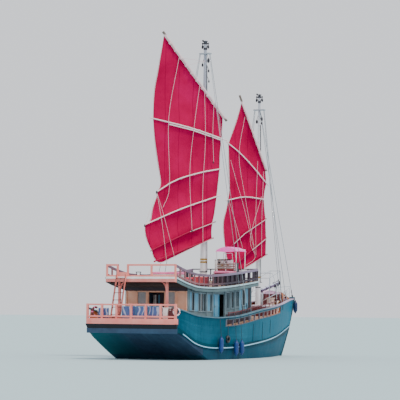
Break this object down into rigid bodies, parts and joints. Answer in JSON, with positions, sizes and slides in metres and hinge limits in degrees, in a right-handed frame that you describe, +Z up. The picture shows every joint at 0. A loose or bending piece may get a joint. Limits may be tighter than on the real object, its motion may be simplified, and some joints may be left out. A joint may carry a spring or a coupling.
{
  "type": "chinese junk ship",
  "caption": "Sailing junk with a teal hull, pink stern rail, cabin under an upper deck, and fan-shaped crimson batten sails that swing about the masts.",
  "frame": {"origin": "amidships on the centreline at the waterline, 10.5 m ahead of the stern platform's aft face", "axes": "+X towards the bow, +Y to port, +Z up"},
  "size_m": [21, 6.3754, 20.1164],
  "materials": {
    "teal": "semi-gloss marine enamel on planks",
    "teal_dark": "semi-gloss marine enamel",
    "grey_paint": "matt grey paint, worn",
    "salmon_paint": "matt salmon paint on timber",
    "cabin_paint": "matt grey-green paint on panels",
    "tan_wood": "faded varnish",
    "cream_paint": "satin paint",
    "weathered_wood": "bare weathered timber",
    "white_paint": "satin paint",
    "brown_wood": "oiled timber",
    "dark_vinyl": "marine vinyl",
    "pink_canvas": "sun-faded canvas",
    "coral_fabric": "woven cover",
    "pink_fabric": "woven cover",
    "lilac_fabric": "woven cover",
    "steel_wire": "laid wire rope",
    "steel_tube": "polished tube",
    "crimson_canvas": "sewn sailcloth",
    "pink_spar": "painted batten",
    "white_canvas": "rolled canvas",
    "bronze": "cast and polished",
    "blue_paint": "matt paint",
    "fender_vinyl": "moulded vinyl"
  },
  "bodies": {
    "ship": {"awning_roll": "white_canvas", "awning_stand": "steel_tube", "bench": "weathered_wood", "bench_cushion": "coral_fabric", "bulwark_port": "teal", "bulwark_starboard": "teal", "cabin_wall_aft": "tan_wood", "cabin_wall_front": "cabin_paint", "cabin_wall_port": "cabin_paint", "cabin_wall_starboard": "cabin_paint", "canopy": "pink_canvas", "canopy_frame": "white_paint", "cap_rail": "grey_paint", "fender_1": "fender_vinyl", "fender_2": "fender_vinyl", "fender_3": "fender_vinyl", "fender_4": "fender_vinyl", "fore_mast": "white_paint", "fore_rigging": "steel_wire", "helm_console": "white_paint", "helm_seat": "dark_vinyl", "hull": "teal", "ladder": "salmon_paint", "main_mast": "white_paint", "main_rigging": "steel_wire", "pillar_port": "salmon_paint", "pillar_starboard": "salmon_paint", "stern_platform": "salmon_paint", "stern_rail": "salmon_paint", "stern_seat": "blue_paint", "sun_box": "weathered_wood", "sun_cushion": "pink_fabric", "sunbed": "brown_wood", "sunbed_cushion": "lilac_fabric", "upper_deck": "cream_paint", "upper_rail": "weathered_wood", "wale": "teal_dark", "windlass": "cream_paint"},
    "main_sail_rig": {"main_batten_1": "pink_spar", "main_batten_2": "pink_spar", "main_batten_3": "pink_spar", "main_batten_4": "pink_spar", "main_boom": "pink_spar", "main_sail": "crimson_canvas", "main_yard": "brown_wood"},
    "fore_sail_rig": {"fore_batten_1": "pink_spar", "fore_batten_2": "pink_spar", "fore_batten_3": "pink_spar", "fore_batten_4": "pink_spar", "fore_boom": "pink_spar", "fore_sail": "crimson_canvas", "fore_yard": "brown_wood"},
    "rudder": {"rudder": "teal_dark"},
    "propeller": {"propeller": "bronze"},
    "helm_wheel": {"helm_wheel": "brown_wood"},
    "aft_door_port": {"aft_door_port": "blue_paint"},
    "aft_door_starboard": {"aft_door_starboard": "blue_paint"},
    "side_door_port": {"side_door_port": "blue_paint"},
    "side_door_starboard": {"side_door_starboard": "blue_paint"}
  },
  "joints": [
    {"name": "main_sail_swing", "type": "hinge", "parent": "ship", "child": "main_sail_rig", "pos_m": [-1.8, 0, 7], "axis": [0, 0, -1], "range_deg": [-45, 10]},
    {"name": "fore_sail_swing", "type": "hinge", "parent": "ship", "child": "fore_sail_rig", "pos_m": [5.4, 0, 6.5], "axis": [0, 0, -1], "range_deg": [-40, 30]},
    {"name": "rudder_turn", "type": "hinge", "parent": "ship", "child": "rudder", "pos_m": [-6.35, 0, -1], "axis": [0, 0, 1], "range_deg": [-35, 35]},
    {"name": "propeller_spin", "type": "hinge", "parent": "ship", "child": "propeller", "pos_m": [-5.5, 0, -1.01], "axis": [1, 0, 0], "continuous": true},
    {"name": "helm_wheel_turn", "type": "hinge", "parent": "ship", "child": "helm_wheel", "pos_m": [-0.47, -0.525, 5.32], "axis": [1, 0, 0], "range_deg": [-350, 350]},
    {"name": "aft_door_port_swing", "type": "hinge", "parent": "ship", "child": "aft_door_port", "pos_m": [-7.432, 0.479, 2.6], "axis": [0, 0, -1], "range_deg": [0, 90]},
    {"name": "aft_door_starboard_swing", "type": "hinge", "parent": "ship", "child": "aft_door_starboard", "pos_m": [-7.432, -0.479, 2.6], "axis": [0, 0, 1], "range_deg": [0, 90]},
    {"name": "side_door_port_swing", "type": "hinge", "parent": "ship", "child": "side_door_port", "pos_m": [-3.642, 1.908, 2.7], "axis": [0, 0, -1], "range_deg": [0, 175]},
    {"name": "side_door_starboard_swing", "type": "hinge", "parent": "ship", "child": "side_door_starboard", "pos_m": [-3.642, -1.908, 2.7], "axis": [0, 0, 1], "range_deg": [0, 175]}
  ],
  "couplings": [
    {"joint": "helm_wheel_turn", "follows": "rudder_turn", "ratio": 10}
  ]
}
